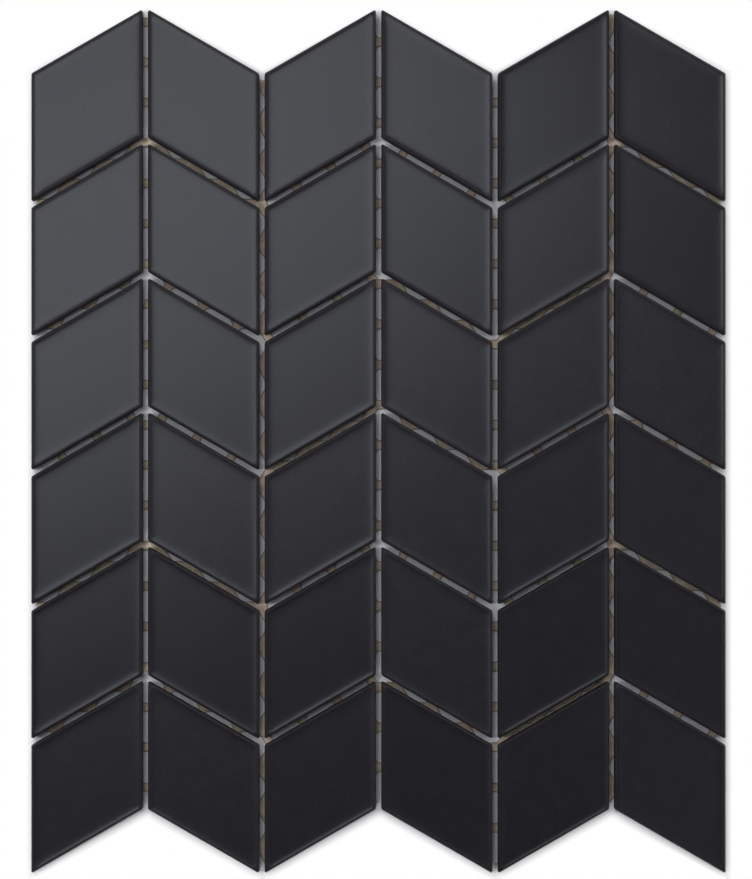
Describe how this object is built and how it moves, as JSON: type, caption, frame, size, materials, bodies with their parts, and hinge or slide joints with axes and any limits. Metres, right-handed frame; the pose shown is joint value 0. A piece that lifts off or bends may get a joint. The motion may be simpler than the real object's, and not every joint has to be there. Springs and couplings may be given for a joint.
{
  "type": "glass mosaic tile sheet",
  "caption": "Sheet of matte black rhombus glass mosaic tiles set as chevrons on a glued honeycomb backing net, for covering walls.",
  "frame": {"origin": "middle of the sheet on the underside of the net", "axes": "+X across the columns, +Y up the columns to the end with the peaks beside the middle, +Z out of the tile faces"},
  "size_m": [0.2594, 0.3224, 0.0065],
  "materials": {
    "tile_glass": "opaque black glass with a fine matte, frosted face",
    "net_fibre": "woven fibre net soaked in dried tan glue"
  },
  "bodies": {
    "root": {"tile_row1_column1": "tile_glass", "tile_row1_column2": "tile_glass", "tile_row1_column3": "tile_glass", "tile_row1_column4": "tile_glass", "tile_row1_column5": "tile_glass", "tile_row1_column6": "tile_glass", "tile_row2_column1": "tile_glass", "tile_row2_column2": "tile_glass", "tile_row2_column3": "tile_glass", "tile_row2_column4": "tile_glass", "tile_row2_column5": "tile_glass", "tile_row2_column6": "tile_glass", "tile_row3_column1": "tile_glass", "tile_row3_column2": "tile_glass", "tile_row3_column3": "tile_glass", "tile_row3_column4": "tile_glass", "tile_row3_column5": "tile_glass", "tile_row3_column6": "tile_glass", "tile_row4_column1": "tile_glass", "tile_row4_column2": "tile_glass", "tile_row4_column3": "tile_glass", "tile_row4_column4": "tile_glass", "tile_row4_column5": "tile_glass", "tile_row4_column6": "tile_glass", "tile_row5_column1": "tile_glass", "tile_row5_column2": "tile_glass", "tile_row5_column3": "tile_glass", "tile_row5_column4": "tile_glass", "tile_row5_column5": "tile_glass", "tile_row5_column6": "tile_glass", "tile_row6_column1": "tile_glass", "tile_row6_column2": "tile_glass", "tile_row6_column3": "tile_glass", "tile_row6_column4": "tile_glass", "tile_row6_column5": "tile_glass", "tile_row6_column6": "tile_glass", "net_strip_1": "net_fibre", "net_strip_2": "net_fibre", "net_strip_3": "net_fibre", "net_strip_4": "net_fibre", "net_strip_5": "net_fibre", "net_strip_6": "net_fibre"}
  },
  "joints": []
}
